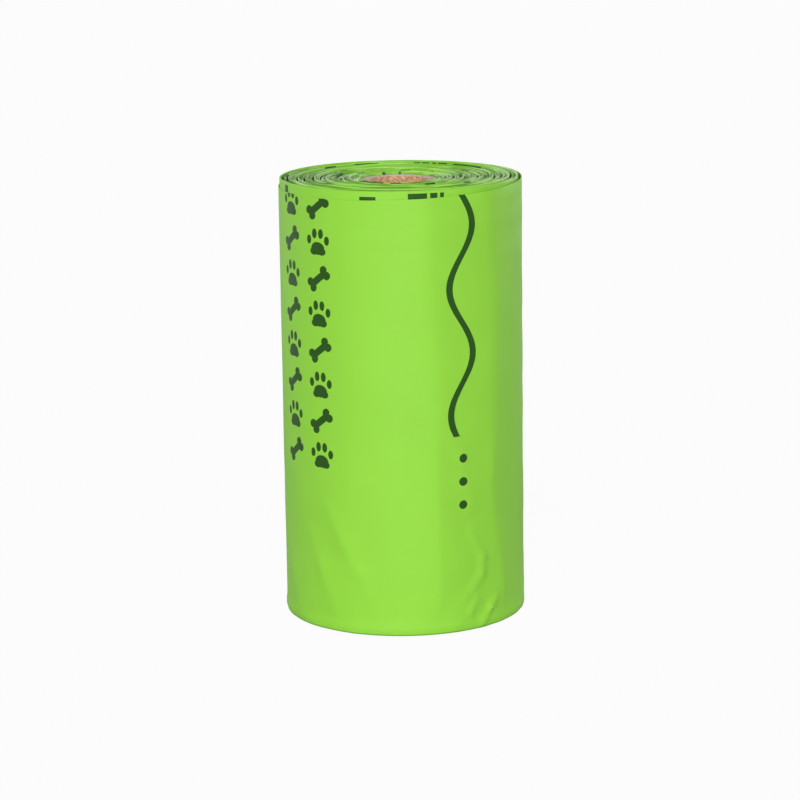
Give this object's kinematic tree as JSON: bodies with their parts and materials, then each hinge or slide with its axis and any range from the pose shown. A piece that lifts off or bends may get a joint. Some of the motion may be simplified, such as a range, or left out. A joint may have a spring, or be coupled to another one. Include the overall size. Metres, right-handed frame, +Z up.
{
  "type": "roll of dog waste bags",
  "caption": "Roll of thin green plastic bags for dog waste, wound on a short paper tube and standing on its end, with a central bore and a loose end of film on the outside.",
  "frame": {"origin": "centre of the paper tube's bore at the lower end of the roll, on the surface that the roll stands on", "axes": "+Z up the tube's axis, which is the long way of the roll; the view of the picture looks along +Y, with +X to the right"},
  "size_m": [0.0331, 0.0329, 0.06],
  "materials": {
    "kraft_core": "uncoated",
    "green_film": "satin"
  },
  "bodies": {
    "root": {"paper_core": "kraft_core", "bag_roll": "green_film"}
  },
  "joints": []
}
